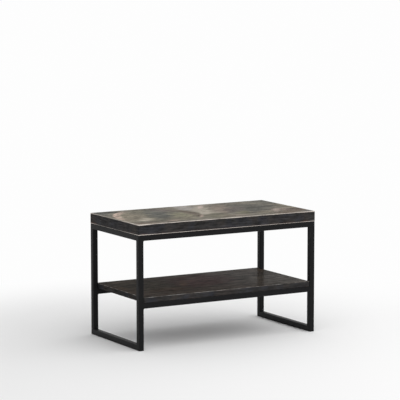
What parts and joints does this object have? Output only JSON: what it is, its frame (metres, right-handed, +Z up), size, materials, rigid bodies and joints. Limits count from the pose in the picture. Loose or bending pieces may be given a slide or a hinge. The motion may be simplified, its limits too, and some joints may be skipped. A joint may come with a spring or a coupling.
{
  "type": "bench",
  "caption": "Low bench with a thick dark plywood seat and a plywood shelf on a black square-tube steel frame with floor runners.",
  "frame": {"origin": "middle of the footprint, on the floor", "axes": "+X along the bench's length to the right, +Y to the back, +Z up"},
  "size_m": [0.72, 0.362, 0.4394],
  "materials": {
    "frame_steel": "fine satin black powder coat",
    "seat_plywood": "sanded through dark stain on the face, near-black sides, pale worn arrises",
    "shelf_plywood": "dark brown satin stain with lengthwise grain",
    "screw_steel": "zinc-plated"
  },
  "bodies": {
    "root": {"leg_front_left": "frame_steel", "leg_front_right": "frame_steel", "leg_back_left": "frame_steel", "leg_back_right": "frame_steel", "top_rail_front": "frame_steel", "top_rail_back": "frame_steel", "top_rail_left": "frame_steel", "top_rail_right": "frame_steel", "shelf_rail_front": "frame_steel", "shelf_rail_back": "frame_steel", "floor_runner_left": "frame_steel", "floor_runner_right": "frame_steel", "seat_lug_front_left": "frame_steel", "seat_lug_front_middle": "frame_steel", "seat_lug_front_right": "frame_steel", "seat_lug_back_left": "frame_steel", "seat_lug_back_middle": "frame_steel", "seat_lug_back_right": "frame_steel", "shelf_lug_front_left": "frame_steel", "shelf_lug_front_right": "frame_steel", "shelf_lug_back_left": "frame_steel", "shelf_lug_back_right": "frame_steel", "seat_sheet_upper": "seat_plywood", "seat_sheet_lower": "seat_plywood", "shelf_board": "shelf_plywood", "seat_screws": "screw_steel", "shelf_screws": "screw_steel"}
  },
  "joints": []
}
